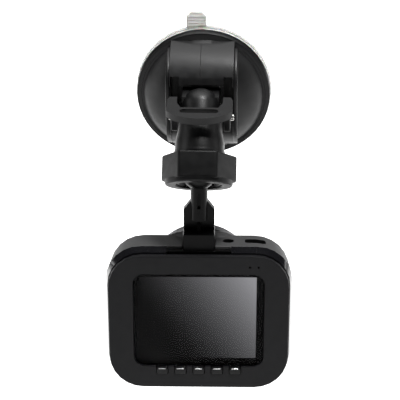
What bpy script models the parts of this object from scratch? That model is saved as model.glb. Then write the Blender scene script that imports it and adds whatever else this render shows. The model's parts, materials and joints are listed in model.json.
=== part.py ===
"""Dash camera on a suction mount, in metres, +Z up.

The origin is the middle of the suction cup's sealing face.  +X is the driver's right, +Y points
through the windscreen and +Z up.  The screen faces -Y.
"""
import bpy
import bmesh
from math import cos, sin, pi, radians
from mathutils import Matrix, Vector

MM = 0.001

# ---------------------------------------------------------------- driving dimensions (mm, degrees)
GAP = 0.3                    # clearance between pieces that touch
RUN = 0.08                   # radial clearance of a turning pin

# suction mount
CUP_PITCH = 11.0             # the cup's axis points this far above level
CUP_FLANGE = 3.2             # sealing face to the housing's rim
CUP_BOSS_RADIUS = 8.2
CUP_BOSS_HEIGHT = 8.0
TAB_WIDTH = 7.1
TAB_SHIFT = -2.5
TAB_REACH = 29.0             # cup axis to the tip of the pull tab
HOUSING_RADIUS = 24.3
CUP_RADIUS = HOUSING_RADIUS + 0.3
RIM_PLANE = CUP_FLANGE + GAP  # sealing face to the underside of the housing's rim
HOOD_HALF = 11.2             # half width of the raised hood
RIB_THICKNESS = 1.5
FLOOR = 15.0                 # bearing floor of the cams above the rim plane
RIB_TOP = FLOOR + 2.3         # clear of the axle's ends when the stud is right in
PULL_POCKET = 3.2            # sealing face to the pocket that holds the stud's flange
STUD_FLANGE = 1.2
ARM_SCREW_X = 4.3
ARM_SCREW_Z = 6.4
ROOT_HALF = 6.4              # half width of the arm's root in the hood
ROOT_TOP = 8.6
CHANNEL_TOP = 13.2           # top of the channels that the lever's ears turn in

# cam lever
AXLE_RADIUS = 1.25
AXLE_OUT = 23.8              # axle to the sealing face, along the cup's axis
AXLE_ROOM = AXLE_RADIUS + 0.35  # half width of the slot that the axle slides in
LEVER_SLOPE = 18.0
EAR_IN = 8.1
EAR_OUT = 10.4
EAR_ROOM = 0.45              # side clearance between an ear and its channel
CAM_HIGH = 5.0
LEVER_HALF = 11.2
LEVER_FRONT = 14.9
LEVER_NOTCH = 8.2            # notch that lets the lever pass the elbow
PLATE_TOP = 9.3
PLATE_THICKNESS = 1.6
STUD_RADIUS = 2.8
LEVER_OPEN = 38.0            # degrees, where the lever meets the hood
CAM_STEPS = 6
STUD_TRAVEL = 1.5
EYE_RADIUS = AXLE_RADIUS + 1.85
EYE_HALF = 2.8

# arm, ball joint
ARM_LEAN = 28.0              # arm's axis to the vertical
ARM_LENGTH = 22.0            # ball centre to elbow centre
ELBOW_BACK = 24.8            # elbow centre to the sealing face, in the cup's frame
ELBOW_UP = 3.8
ELBOW_RADIUS = 7.0
BALL_RADIUS = 6.5
TUBE_BORE = BALL_RADIUS + 1.8
TUBE_RADIUS = TUBE_BORE + 1.3
NECK_RADIUS = 7.8
NECK_RIM_RADIUS = TUBE_RADIUS - 0.8
NUT_CORNER = TUBE_RADIUS + 3.5  # centre to corner of the hexagon
NUT_TOP = 5.2
NUT_BOTTOM = -4.0
STEM_RADIUS = 3.0
STEM_SIDES = 32
CAMERA_YAW = 2.0             # the camera as set on its ball, about the vertical

# bracket, measured from the camera's middle (its rear face is y = 0)
BALL_HEIGHT = 53.3
BALL_DEPTH = 10.0
BLOCK_HALF = 5.5
BLOCK_TOP = 32.1
BLOCK_FRONT = 3.9
BLOCK_REAR = 14.2
UPRIGHT_REAR = 9.2
UPRIGHT_THICKNESS = 3.0
UPRIGHT_TOP = 42.5
UPRIGHT_HALF = BLOCK_HALF - 0.1
FLANGE_HALF = 6.8
FLANGE_THICKNESS = 1.7
FLANGE_LOW = 23.7
FLANGE_END = 15.2
LIP_HALF = 11.0
LIP_LOW = 24.3
LIP_PROUD = 0.15             # lip stands this far in front of the block

# camera body
BODY_WIDTH = 66.0
BODY_HEIGHT = 53.4
BODY_DEPTH = 18.8
BODY_CORNER = 13.0
BEZEL_WIDTH = BODY_WIDTH - 2.6
BEZEL_HEIGHT = BODY_HEIGHT - 2.5
BEZEL_CORNER = BODY_CORNER - 1.0
BEZEL_THICKNESS = 2.2
TRIM_END = 6.2
TRIM_FLOOR = 23.0            # top of the opening through the trim band
SHELL_WALL = 1.8
SCREEN_WIDTH = 40.6
SCREEN_HEIGHT = 31.4
SCREEN_Z = 0.7
WINDOW_WIDTH = 46.2
WINDOW_HEIGHT = 35.9
WINDOW_CORNER = 4.0
WINDOW_SINK = 0.9
PANEL_HALF = 23.1
PANEL_LOW = SCREEN_Z - 17.9
PANEL_HIGH = SCREEN_Z + 18.5
LENS_X = 0.6
LENS_Z = 9.4
RING_RADIUS = 19.0
RING_BORE = 14.6
BARREL_RADIUS = 8.2
BOARD_WIDTH = 46.0
BOARD_HEIGHT = 39.5
BOARD_Y = 6.9
BOARD_LOW = -21.0
BOARD_THICKNESS = 1.2
KEY_COUNT = 5
KEY_PITCH = 6.5
KEY_WIDTH = 3.9
KEY_HEIGHT = 2.3
KEY_Z = -18.75
KEY_PROUD = 0.4
SIGNAL_X = (17.8, 20.8)      # microphone, lamp
SIGNAL_Z = 21.4
PORT_Y = 12.2
JACK_X = 10.3
JACK_BORE = 2.0
USB_X = 19.9
USB_WIDTH = 7.4
USB_DEPTH = 4.0
CARD_X = 7.5
CARD_Y = 9.3
CARD_WIDTH = 11.0
CARD_LENGTH = 15.0
CARD_THICKNESS = 0.8
BATTERY_SIZE = (21.0, 4.6, 16.0)
BATTERY_CORNER = (-22.8, 9.2, -19.0)
SPEAKER_RADIUS = 6.2
SCREW_X = BODY_WIDTH / 2 - 6.8
SCREW_Z = 18.0
BOSS_RADIUS = 2.1

# ---------------------------------------------------------------- scene and helpers
for old in list(bpy.data.objects):
    bpy.data.objects.remove(old)

parts = bpy.data.collections.new("dash_camera")
cutters = bpy.data.collections.new("cutters")
bpy.context.scene.collection.children.link(parts)
bpy.context.scene.collection.children.link(cutters)

MATERIALS = {}


def material(name, colour, roughness, metallic=0.0):
    """One Principled material, made once."""
    if name not in MATERIALS:
        mat = bpy.data.materials.new(name)
        mat.use_nodes = True
        shader = mat.node_tree.nodes["Principled BSDF"]
        shader.inputs["Base Color"].default_value = (*colour, 1.0)
        shader.inputs["Roughness"].default_value = roughness
        shader.inputs["Metallic"].default_value = metallic
        MATERIALS[name] = mat
    return MATERIALS[name]


def frame(name, at=(0, 0, 0), pitch=0.0, parent=None):
    """An empty that carries a group; pitch turns it about X, in degrees."""
    empty = bpy.data.objects.new(name, None)
    empty.empty_display_size = 5 * MM
    empty.location = Vector(at) * MM
    empty.rotation_euler = (radians(pitch), 0, 0)
    empty.parent = parent
    parts.objects.link(empty)
    return empty


def add(name, mesh, parent=None, group=None):
    """Wrap a mesh in an object of the given group."""
    obj = bpy.data.objects.new(name, mesh)
    obj.parent = parent
    (group or parts).objects.link(obj)
    return obj


def finish(obj, mat, smooth=35.0):
    """Give the piece its material and shading."""
    obj.data.materials.clear()
    obj.data.materials.append(mat)
    obj.data.shade_smooth()
    obj.data.set_sharp_from_angle(angle=radians(smooth))
    return obj


def from_bmesh(name, bm, parent=None, group=None):
    mesh = bpy.data.meshes.new(name)
    bm.to_mesh(mesh)
    bm.free()
    return add(name, mesh, parent, group)


def box(name, low, high, parent=None, group=None):
    """Axis-aligned block between two corners."""
    low = Vector(low)
    high = Vector(high)
    size = (high - low) * MM
    bm = bmesh.new()
    bmesh.ops.create_cube(bm, size=1.0)
    bmesh.ops.scale(bm, vec=size, verts=bm.verts)
    bmesh.ops.translate(bm, vec=(low + high) * 0.5 * MM, verts=bm.verts)
    return from_bmesh(name, bm, parent, group)


TURN = {
    "X": Matrix.Rotation(pi / 2, 3, "Y"),
    "Y": Matrix.Rotation(-pi / 2, 3, "X"),
    "Z": Matrix.Identity(3),
}


def rod(name, radius, start, end, axis="Y", at=(0, 0, 0), parent=None, group=None, top=None, sides=32):
    """Cylinder or cone along an axis, from start to end."""
    bm = bmesh.new()
    bmesh.ops.create_cone(bm, cap_ends=True, segments=sides, radius1=radius * MM,
                          radius2=(radius if top is None else top) * MM, depth=(end - start) * MM)
    bmesh.ops.translate(bm, vec=(0, 0, (start + end) * 0.5 * MM), verts=bm.verts)
    bmesh.ops.rotate(bm, matrix=TURN[axis], verts=bm.verts)
    bmesh.ops.translate(bm, vec=Vector(at) * MM, verts=bm.verts)
    return from_bmesh(name, bm, parent, group)


def ball(name, radius, at=(0, 0, 0), parent=None, group=None, stretch=(1, 1, 1), sides=32):
    bm = bmesh.new()
    bmesh.ops.create_uvsphere(bm, u_segments=sides, v_segments=sides // 2, radius=radius * MM)
    bmesh.ops.scale(bm, vec=stretch, verts=bm.verts)
    bmesh.ops.translate(bm, vec=Vector(at) * MM, verts=bm.verts)
    return from_bmesh(name, bm, parent, group)


def turned(name, profile, axis="Y", at=(0, 0, 0), parent=None, group=None, steps=48):
    """Solid of revolution: profile is (radius, height) down the outer side, closed on the axis."""
    mesh = bpy.data.meshes.new(name)
    bm = bmesh.new()
    verts = [bm.verts.new((r * MM, 0, h * MM)) for r, h in profile]
    for first, second in zip(verts, verts[1:]):
        bm.edges.new((first, second))
    if profile[0][0] > 0:
        bm.edges.new((verts[-1], verts[0]))
    bm.to_mesh(mesh)
    bm.free()
    obj = add(name, mesh, parent, group)
    screw = obj.modifiers.new("turn", "SCREW")
    screw.axis = "Z"
    screw.steps = steps
    screw.render_steps = steps
    screw.use_merge_vertices = True
    screw.merge_threshold = 0.00002
    return settle(obj, TURN[axis], at)


def settle(obj, matrix, at):
    """Apply the modifiers so far, then turn and move the mesh."""
    layer = bpy.context.view_layer
    layer.update()
    baked = bpy.data.meshes.new_from_object(obj.evaluated_get(bpy.context.evaluated_depsgraph_get()))
    obj.modifiers.clear()
    bm = bmesh.new()
    bm.from_mesh(baked)
    bmesh.ops.remove_doubles(bm, verts=bm.verts, dist=0.00001)
    bmesh.ops.recalc_face_normals(bm, faces=bm.faces)
    bmesh.ops.rotate(bm, matrix=matrix, verts=bm.verts)
    bmesh.ops.translate(bm, vec=Vector(at) * MM, verts=bm.verts)
    bm.to_mesh(baked)
    bm.free()
    baked.name = obj.name
    obj.data = baked
    return obj


def flat(name, outline, thickness, parent=None, group=None, holes=()):
    """Flat outlines in XY, filled and given a thickness about Z = 0."""
    curve = bpy.data.curves.new(name, "CURVE")
    curve.dimensions = "2D"
    curve.fill_mode = "BOTH"
    curve.extrude = thickness * 0.5 * MM
    for points in (outline, *holes):
        spline = curve.splines.new("POLY")
        spline.points.add(len(points) - 1)
        for point, (x, y) in zip(spline.points, points):
            point.co = (x * MM, y * MM, 0, 1)
        spline.use_cyclic_u = True
    drawn = bpy.data.objects.new(name + "_curve", curve)
    (group or parts).objects.link(drawn)
    mesh = bpy.data.meshes.new_from_object(drawn)
    bpy.data.objects.remove(drawn)
    bm = bmesh.new()
    bm.from_mesh(mesh)
    bmesh.ops.remove_doubles(bm, verts=bm.verts, dist=0.00001)
    bmesh.ops.recalc_face_normals(bm, faces=bm.faces)
    bm.to_mesh(mesh)
    bm.free()
    mesh.name = name
    return add(name, mesh, parent, group)


def rounded(width, height, corner, middle=(0, 0), steps=6):
    """Points of a rounded rectangle."""
    points = []
    for turn, (sx, sy) in enumerate(((1, 1), (-1, 1), (-1, -1), (1, -1))):
        cx = middle[0] + sx * (width / 2 - corner)
        cy = middle[1] + sy * (height / 2 - corner)
        for step in range(steps + 1):
            angle = (turn + step / steps) * pi / 2
            points.append((cx + corner * cos(angle), cy + corner * sin(angle)))
    return points


def slab(name, outline, y0, y1, parent=None, group=None, holes=(), far=None):
    """Outline in XZ between two depths; far scales the outline at y1."""
    obj = flat(name, outline, y1 - y0, parent, group, holes)
    bm = bmesh.new()
    bm.from_mesh(obj.data)
    if far:
        for vert in bm.verts:
            if vert.co.z > 0:
                vert.co.x *= far[0]
                vert.co.y *= far[1]
    bmesh.ops.rotate(bm, matrix=Matrix.Rotation(pi / 2, 3, "X"), verts=bm.verts)
    bmesh.ops.scale(bm, vec=(1, -1, 1), verts=bm.verts)
    bmesh.ops.translate(bm, vec=(0, (y0 + y1) * 0.5 * MM, 0), verts=bm.verts)
    bmesh.ops.recalc_face_normals(bm, faces=bm.faces)
    bm.to_mesh(obj.data)
    bm.free()
    return obj


def side(name, outline, x0, x1, parent=None, group=None):
    """Outline in YZ between two x positions."""
    obj = flat(name, outline, x1 - x0, parent, group)
    bm = bmesh.new()
    bm.from_mesh(obj.data)
    turn = Matrix(((0, 0, 1), (1, 0, 0), (0, 1, 0)))
    bmesh.ops.rotate(bm, matrix=turn, verts=bm.verts)
    bmesh.ops.translate(bm, vec=((x0 + x1) * 0.5 * MM, 0, 0), verts=bm.verts)
    bmesh.ops.recalc_face_normals(bm, faces=bm.faces)
    bm.to_mesh(obj.data)
    bm.free()
    return obj


def bevel(obj, width, segments=2, angle=40.0):
    mod = obj.modifiers.new("rounding", "BEVEL")
    mod.width = width * MM
    mod.segments = segments
    mod.limit_method = "ANGLE"
    mod.angle_limit = radians(angle)
    return obj


def combine(obj, others, operation):
    for other in others:
        other.hide_render = True
        other.display_type = "WIRE"
        mod = obj.modifiers.new(operation.lower(), "BOOLEAN")
        mod.operation = operation
        mod.solver = "EXACT"
        mod.object = other
    return obj


def cut(obj, *others):
    return combine(obj, others, "DIFFERENCE")


def join(obj, *others):
    return combine(obj, others, "UNION")


# ---------------------------------------------------------------- materials
black = material("black_plastic", (0.014, 0.014, 0.015), 0.42)
grained = material("grained_grey_plastic", (0.030, 0.030, 0.032), 0.55)
bezel_black = material("bezel_matte_black", (0.012, 0.012, 0.013), 0.5)
gloss = material("gloss_black_trim", (0.008, 0.008, 0.009), 0.12)
silver = material("silver_ring", (0.62, 0.62, 0.63), 0.28, 1.0)
lens_black = material("lens_barrel_black", (0.01, 0.01, 0.01), 0.3)
lens_glass_mat = material("lens_glass", (0.05, 0.04, 0.09), 0.05)
window_mat = material("screen_window", (0.02, 0.02, 0.022), 0.08)
panel_mat = material("screen_panel", (0.05, 0.05, 0.055), 0.3)
rubber = material("keypad_rubber", (0.03, 0.03, 0.03), 0.7)
key_mat = material("key_cap", (0.02, 0.02, 0.021), 0.3)
board_mat = material("circuit_board", (0.02, 0.12, 0.05), 0.45)
chip_mat = material("sensor_chip", (0.03, 0.03, 0.035), 0.25)
battery_mat = material("battery_foil", (0.55, 0.56, 0.58), 0.4, 0.6)
steel = material("steel", (0.6, 0.6, 0.6), 0.3, 1.0)
led_mat = material("led_lens", (0.5, 0.1, 0.08), 0.2)
card_mat = material("card_plastic", (0.02, 0.02, 0.03), 0.4)
gel = material("clear_gel", (0.75, 0.75, 0.72), 0.25)
arm_mat = material("arm_black_plastic", (0.013, 0.013, 0.014), 0.38)
nut_mat = material("nut_black_plastic", (0.016, 0.016, 0.017), 0.45)
collet_mat = material("collet_plastic", (0.04, 0.04, 0.04), 0.5)
bracket_mat = material("bracket_black_plastic", (0.014, 0.014, 0.015), 0.4)

# ---------------------------------------------------------------- frames
cup_frame = frame("cup_frame", pitch=CUP_PITCH)
axle_frame = frame("axle_frame", at=(0, -AXLE_OUT, 0), parent=cup_frame)
lever_frame = frame("lever_frame", pitch=LEVER_SLOPE - CUP_PITCH, parent=axle_frame)

pitch = radians(CUP_PITCH)
elbow = Vector((0, -ELBOW_BACK * cos(pitch) - ELBOW_UP * sin(pitch),
                -ELBOW_BACK * sin(pitch) + ELBOW_UP * cos(pitch)))
lean = radians(ARM_LEAN)
ball_centre = elbow - Vector((0, sin(lean), cos(lean))) * ARM_LENGTH
arm_frame = frame("arm_frame", at=ball_centre, pitch=-ARM_LEAN)
ball_frame = frame("ball_frame", at=ball_centre)
ball_frame.rotation_euler.z = radians(CAMERA_YAW)
camera_frame = frame("camera_frame", at=(0, -BALL_DEPTH, -BALL_HEIGHT), parent=ball_frame)

# ---------------------------------------------------------------- suction housing
R = HOUSING_RADIUS
OUTER = [(0, 13.2), (7.0, 12.8), (12.5, 11.6), (16.5, 9.6), (19.5, 6.8), (21.2, 4.4), (21.7, 3.2),
         (R - 1.0, 3.0), (R - 0.3, 2.7), (R, 2.0), (R, 0), (0, 0)]
CAVITY = [(0, 11.4), (6.5, 11.0), (11.8, 9.8), (15.6, 7.9), (18.2, 5.4), (19.8, 3.0), (20.6, -1), (0, -1)]


def facing_driver(profile):
    """Heights above the rim plane become positions along the cup's axis."""
    return [(r, -RIM_PLANE - h) for r, h in profile]


housing = turned("suction_housing", facing_driver(OUTER), parent=cup_frame)
HOOD = [(2.0, 21.0), (3.2, 21.2), (7.0, 20.2), (11.0, 18.2), (14.2, 15.4), (16.6, 12.4), (17.3, 10.8),
        (16.9, 9.8), (15.8, 9.3), (FLOOR, 9.2), (FLOOR, -8.0), (13.6, -11.5), (9.5, -15.6), (5.0, -18.8),
        (2.0, -19.6)]
hood = side("hood_form", [(-RIM_PLANE - w, z) for w, z in HOOD], -HOOD_HALF, HOOD_HALF, cup_frame, cutters)
RIB = [(2.0, 19.0), (8.0, 18.6), (12.6, 15.8), (16.0, 12.0), (RIB_TOP, 8.0), (RIB_TOP, -5.0), (16.2, -9.5),
       (12.0, -14.0), (6.0, -18.0), (2.0, -19.0)]
ribs = []
for sign in (-1, 1):
    middle = sign * (HOOD_HALF + RIB_THICKNESS / 2 - 0.1)
    rib = side("rib_form", [(-RIM_PLANE - w, z) for w, z in RIB],
               middle - RIB_THICKNESS / 2, middle + RIB_THICKNESS / 2, cup_frame, cutters)
    ribs.append(bevel(rib, 0.45, 2))
join(housing, hood, *ribs)
floor_y = -RIM_PLANE - FLOOR
root_depth = -RIM_PLANE - 13.0
channel_depth = -RIM_PLANE - 11.6
cut(housing,
    turned("cavity_cut", facing_driver(CAVITY), parent=cup_frame, group=cutters),
    ball("elbow_pocket", ELBOW_RADIUS + 0.5, (0, -ELBOW_BACK, ELBOW_UP), cup_frame, cutters),
    box("root_pocket", (-ROOT_HALF - GAP, -30, 1.6), (ROOT_HALF + GAP, root_depth, ROOT_TOP + GAP), cup_frame,
        cutters),
    rod("stud_bore", STUD_RADIUS + GAP, -30, -8, at=(0, 0, 0), parent=cup_frame, group=cutters),
    box("channel_left", (-EAR_OUT - EAR_ROOM, -30, 1.0), (GAP - EAR_IN, channel_depth, CHANNEL_TOP),
        cup_frame, cutters),
    box("channel_right", (EAR_IN - GAP, -30, 1.0), (EAR_OUT + EAR_ROOM, channel_depth, CHANNEL_TOP),
        cup_frame, cutters))
for number, x in enumerate((-ARM_SCREW_X, ARM_SCREW_X)):
    cut(housing, rod("screw_bore", 1.3, -24, -10, at=(x, 0, ARM_SCREW_Z), parent=cup_frame, group=cutters))
    head_y = -RIM_PLANE - 10.3
    screw = turned(f"arm_screw_{number + 1}",
                   [(0, head_y + 1.4), (1.5, head_y + 1.4), (1.8, head_y + 1.1), (1.8, head_y),
                    (1.0, head_y), (1.0, head_y - 8.2), (0.6, head_y - 8.8), (0, head_y - 8.8)],
                   at=(x, 0, ARM_SCREW_Z), parent=cup_frame, steps=16)
    finish(screw, steel)
finish(housing, black)

# ---------------------------------------------------------------- gel cup and stud
FLANGE_BACK = PULL_POCKET + GAP + STUD_TRAVEL + STUD_FLANGE
cup = turned("suction_cup",
             [(0, -CUP_BOSS_HEIGHT), (CUP_BOSS_RADIUS - 0.8, -CUP_BOSS_HEIGHT),
              (CUP_BOSS_RADIUS, 0.8 - CUP_BOSS_HEIGHT),
              (CUP_BOSS_RADIUS + 0.5, -CUP_FLANGE - 0.9), (10.0, -CUP_FLANGE), (R - 0.6, -CUP_FLANGE),
              (R - 0.2, -CUP_FLANGE + 0.4), (R + 0.1, -1.6), (CUP_RADIUS, -0.9), (CUP_RADIUS, 0), (0, 0)],
             parent=cup_frame, steps=64)
tab = slab("tab_form", rounded(TAB_WIDTH, TAB_REACH - 18, 1.5, (TAB_SHIFT, (TAB_REACH + 18) / 2), 3),
           -1.5, -0.05, cup_frame, cutters)
join(cup, tab)
cut(cup,
    turned("flange_pocket", [(0, -FLANGE_BACK - 0.4), (5.9, -FLANGE_BACK - 0.4), (5.9, -PULL_POCKET),
                             (0, -PULL_POCKET)], parent=cup_frame, group=cutters),
    rod("neck_bore", STUD_RADIUS + 0.4, -12, -FLANGE_BACK + 0.5, parent=cup_frame, group=cutters))
finish(cup, gel)

stud = turned("cup_stud",
              [(0, STUD_FLANGE - FLANGE_BACK), (5.5, STUD_FLANGE - FLANGE_BACK), (5.5, -FLANGE_BACK),
               (STUD_RADIUS, -FLANGE_BACK), (STUD_RADIUS, 3.0 - AXLE_OUT), (0, 3.0 - AXLE_OUT)],
              parent=cup_frame, steps=32)
join(stud, rod("eye_form", EYE_RADIUS, -EYE_HALF, EYE_HALF, "X", (0, -AXLE_OUT, 0), cup_frame, cutters))
cut(stud, rod("eye_bore", AXLE_RADIUS + RUN, -5, 5, "X", (0, -AXLE_OUT, 0), cup_frame, cutters))
finish(stud, black)
axle = bevel(rod("lever_axle", AXLE_RADIUS, -11.3, 11.6, "X", parent=axle_frame, sides=32), 0.25, 2)
finish(axle, steel)

# ---------------------------------------------------------------- cam lever
top = PLATE_TOP
under = PLATE_TOP - PLATE_THICKNESS
arc = []
for step in range(17):
    angle = radians(-64 + 128 * step / 16)
    arc.append((LEVER_HALF * sin(angle) / sin(radians(64)),
                -LEVER_FRONT + 4.6 * (1 - cos(angle)) / (1 - cos(radians(64)))))
inner = EAR_IN - 0.2
plan = arc + [(LEVER_HALF, -3.4), (LEVER_HALF - 0.7, -1.7), (inner, -1.7), (inner, -5.2),
              (ROOT_HALF, -LEVER_NOTCH), (-ROOT_HALF, -LEVER_NOTCH), (-inner, -5.2), (-inner, -1.7),
              (0.7 - LEVER_HALF, -1.7), (-LEVER_HALF, -3.4)]
lever = flat("cam_lever", plan, PLATE_THICKNESS, lever_frame,
             holes=[rounded(13.2, 2.3, 1.1, (0, -10.3), 4)])
lever.data.transform(Matrix.Translation((0, 0, (top + under) * 0.5 * MM)))
lip = flat("lip_form", arc + [(x, y + 1.7) for x, y in reversed(arc)], 2.6, lever_frame, cutters)
lip.data.transform(Matrix.Translation((0, 0, (top - 1.3 - 0.02) * MM)))
# The cam is the curve whose reach towards the bearing floor falls evenly as the lever opens.
fall = STUD_TRAVEL / radians(LEVER_OPEN)
cam = []
for step in range(CAM_STEPS + 1):
    angle = radians(LEVER_OPEN * step / CAM_STEPS - (LEVER_SLOPE - CUP_PITCH))
    height = CAM_HIGH - STUD_TRAVEL * step / CAM_STEPS
    cam.append((height * cos(angle) + fall * sin(angle), height * sin(angle) - fall * cos(angle)))
EAR = [(-3.2, -4.0), (3.9, -4.0), (4.35, -3.6)] + cam + [(2.0, 3.0), (-0.6, top - 1.0),
       (-1.9, top - 0.1), (-5.4, top - 0.1), (-5.0, 4.0), (-3.4, 0.5)]
ears = []
for sign in (-1, 1):
    low, high = sorted((sign * EAR_IN, sign * EAR_OUT))
    ears.append(bevel(side("ear_form", EAR, low, high, lever_frame, cutters), 0.25, 1))
join(lever, lip, *ears)
cut(lever, rod("ear_bore", AXLE_RADIUS + RUN, -15, 15, "X", (0, 0, 0), lever_frame, cutters))
finish(lever, black)

# ---------------------------------------------------------------- arm
reach = ARM_LENGTH
collet_top = BALL_RADIUS + 0.5
DOME = [(ELBOW_RADIUS * cos(radians(a)), reach + ELBOW_RADIUS * sin(radians(a))) for a in range(75, 0, -15)]
arm = turned("arm", [(0, reach + ELBOW_RADIUS)] + DOME +
             [(ELBOW_RADIUS + 0.05, 20.5), (7.6, 17.5), (NECK_RADIUS, 13.5), (NECK_RIM_RADIUS - 0.2, 9.5),
              (NECK_RIM_RADIUS - 0.2, 7.2), (NECK_RIM_RADIUS, 6.6), (NECK_RIM_RADIUS, 5.8),
              (TUBE_RADIUS - 1.0, 5.6), (TUBE_RADIUS - 0.5, 5.0), (TUBE_RADIUS - 0.5, -2.0),
              (TUBE_RADIUS - 0.9, -2.4), (0, -2.4)], axis="Z", parent=arm_frame)


def in_arm(obj):
    """Move a form drawn in the cup's frame into the arm's frame."""
    obj.parent = arm_frame
    obj.data.transform(placed(arm_frame).inverted() @ placed(cup_frame))
    return obj


def placed(empty):
    return Matrix.Translation(empty.location) @ empty.rotation_euler.to_matrix().to_4x4()


join(arm, in_arm(box("root_form", (-ROOT_HALF, -26.0, 2.2), (ROOT_HALF, root_depth - GAP, ROOT_TOP), cup_frame,
                     cutters)))
cut(arm,
    turned("collet_seat", [(0, collet_top), (TUBE_BORE, collet_top), (TUBE_BORE, -4), (0, -4)], axis="Z",
           parent=arm_frame, group=cutters),
    in_arm(box("eye_slot", (-EYE_HALF - 0.4, -AXLE_OUT - EYE_RADIUS - 0.6, -EYE_RADIUS - 1.1),
               (EYE_HALF + 0.4, -12, EYE_RADIUS + 0.7), cup_frame, cutters)),
    in_arm(box("axle_slot", (-12, -AXLE_OUT - AXLE_ROOM, -AXLE_ROOM),
               (12, -AXLE_OUT + STUD_TRAVEL + AXLE_ROOM, AXLE_ROOM), cup_frame, cutters)))
for x in (-ARM_SCREW_X, ARM_SCREW_X):
    bore = rod("tapped_bore", 1.2, -23.7, -12, at=(x, 0, ARM_SCREW_Z), parent=cup_frame, group=cutters)
    cut(arm, in_arm(bore))
finish(arm, arm_mat)

# ---------------------------------------------------------------- nut and collet
nut = rod("clamp_nut", NUT_CORNER, NUT_BOTTOM, NUT_TOP, "Z", parent=arm_frame, sides=6)
nut.data.transform(Matrix.Rotation(pi / 6, 4, "Z"))
bevel(nut, 0.7, 2)
collar = NUT_CORNER - 1.2
join(nut, turned("nut_collar", [(0, NUT_BOTTOM + 0.5), (collar, NUT_BOTTOM + 0.5), (collar - 0.2, -4.9),
                                (collar - 0.6, -5.3), (0, -5.3)], axis="Z", parent=arm_frame, group=cutters))
cut(nut, turned("nut_bore", [(0, 8), (TUBE_RADIUS - 0.2, 8), (TUBE_RADIUS - 0.2, -2.7), (TUBE_BORE + 0.2, -2.9),
                             (TUBE_BORE - 0.3, -4.9), (TUBE_BORE + 0.5, -6.0), (0, -6.0)], axis="Z",
                parent=arm_frame, group=cutters))
finish(nut, nut_mat)

seat = BALL_RADIUS + 2 * RUN
SEAT = [(seat * cos(radians(a)), seat * sin(radians(a))) for a in range(70, -20, -15)]
collet = turned("collet",
                [(0, collet_top - GAP), (TUBE_BORE - GAP, collet_top - GAP), (TUBE_BORE - GAP, -2.8),
                 (TUBE_BORE - 0.7, -4.7), (TUBE_BORE - 1.3, -4.7), (BALL_RADIUS - 0.53, -2.8),
                 (seat * cos(radians(-20)), seat * sin(radians(-20)))] + SEAT[::-1] + [(0, seat)],
                axis="Z", parent=arm_frame)
slits = []
for angle in (45, 135):
    slit = box("slit", (-12, -0.45, -6), (12, 0.45, 2.5), arm_frame, cutters)
    slit.data.transform(Matrix.Rotation(radians(angle), 4, "Z"))
    slits.append(slit)
cut(collet, *slits)
finish(collet, collet_mat)

# ---------------------------------------------------------------- bracket with ball
bracket = box("ball_bracket", (-BLOCK_HALF, BLOCK_FRONT, LIP_LOW + 0.5), (BLOCK_HALF, BLOCK_REAR, BLOCK_TOP),
              camera_frame)
bevel(bracket, 0.5, 2)
upright_plan = [(-UPRIGHT_HALF, 30.0), (UPRIGHT_HALF, 30.0), (UPRIGHT_HALF, UPRIGHT_TOP - 3.2),
                (2.9, UPRIGHT_TOP), (-2.9, UPRIGHT_TOP), (-UPRIGHT_HALF, UPRIGHT_TOP - 3.2)]
upright = slab("upright_form", upright_plan, UPRIGHT_REAR, UPRIGHT_REAR + UPRIGHT_THICKNESS, camera_frame,
               cutters)
stem = rod("stem_form", STEM_RADIUS, 35.6, BALL_HEIGHT - 3, "Z", parent=camera_frame, group=cutters,
           sides=STEM_SIDES)
stem.data.transform(Matrix.Translation((0, BALL_DEPTH * MM, 0)) @ Matrix.Rotation(pi / STEM_SIDES, 4, "Z"))
gusset = side("gusset_form", [(5.8, 31.0), (10.0, 31.0), (10.0, 40.0), (8.2, 40.0), (7.4, 36.5)], -0.55, 0.55,
              camera_frame, cutters)
flange = box("flange_form", (-FLANGE_HALF, TRIM_END + 2 * GAP, FLANGE_LOW),
             (FLANGE_HALF, FLANGE_END, FLANGE_LOW + FLANGE_THICKNESS), camera_frame, cutters)
wide_lip = box("lip_block", (-LIP_HALF, BLOCK_FRONT - LIP_PROUD, LIP_LOW),
               (LIP_HALF, TRIM_END, LIP_LOW + 1.6), camera_frame, cutters)
head = ball("ball_form", BALL_RADIUS, (0, BALL_DEPTH, BALL_HEIGHT), camera_frame, cutters)
join(bracket, upright, stem, gusset, flange, bevel(wide_lip, 0.3, 2), head)
cut(bracket, box("stem_groove", (-0.55, 5.5, 40.2), (0.55, 8.6, 46.0), camera_frame, cutters))
finish(bracket, bracket_mat)

# ---------------------------------------------------------------- camera case
bezel = slab("rear_bezel", rounded(BEZEL_WIDTH, BEZEL_HEIGHT, BEZEL_CORNER), 0, BEZEL_THICKNESS, camera_frame)
bevel(bezel, 0.8, 2)
for x in (-SCREW_X, SCREW_X):
    for z in (-SCREW_Z, SCREW_Z):
        join(bezel, rod("boss_form", BOSS_RADIUS, BEZEL_THICKNESS - 0.4, BODY_DEPTH - SHELL_WALL - GAP,
                        at=(x, 0, z), parent=camera_frame, group=cutters, sides=20))
        cut(bezel, rod("boss_bore", 1.1, 7.0, 20, at=(x, 0, z), parent=camera_frame, group=cutters, sides=16))
cut(bezel, slab("window_cut", rounded(WINDOW_WIDTH, WINDOW_HEIGHT, WINDOW_CORNER, (0, SCREEN_Z)), -1, 4,
                camera_frame, cutters))
KEYS_X = [(index - (KEY_COUNT - 1) / 2) * KEY_PITCH for index in range(KEY_COUNT)]
for x in KEYS_X:
    opening = rounded(KEY_WIDTH + 2 * GAP, KEY_HEIGHT + 1.2, 0.7, (x, KEY_Z + 0.3), 4)
    cut(bezel, slab("key_cut", opening, -1, 3.5, camera_frame, cutters))
for x in SIGNAL_X:
    cut(bezel, rod("signal_hole", 0.4, -1, 4, at=(x, 0, SIGNAL_Z), parent=camera_frame, group=cutters,
                   sides=16))
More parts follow.
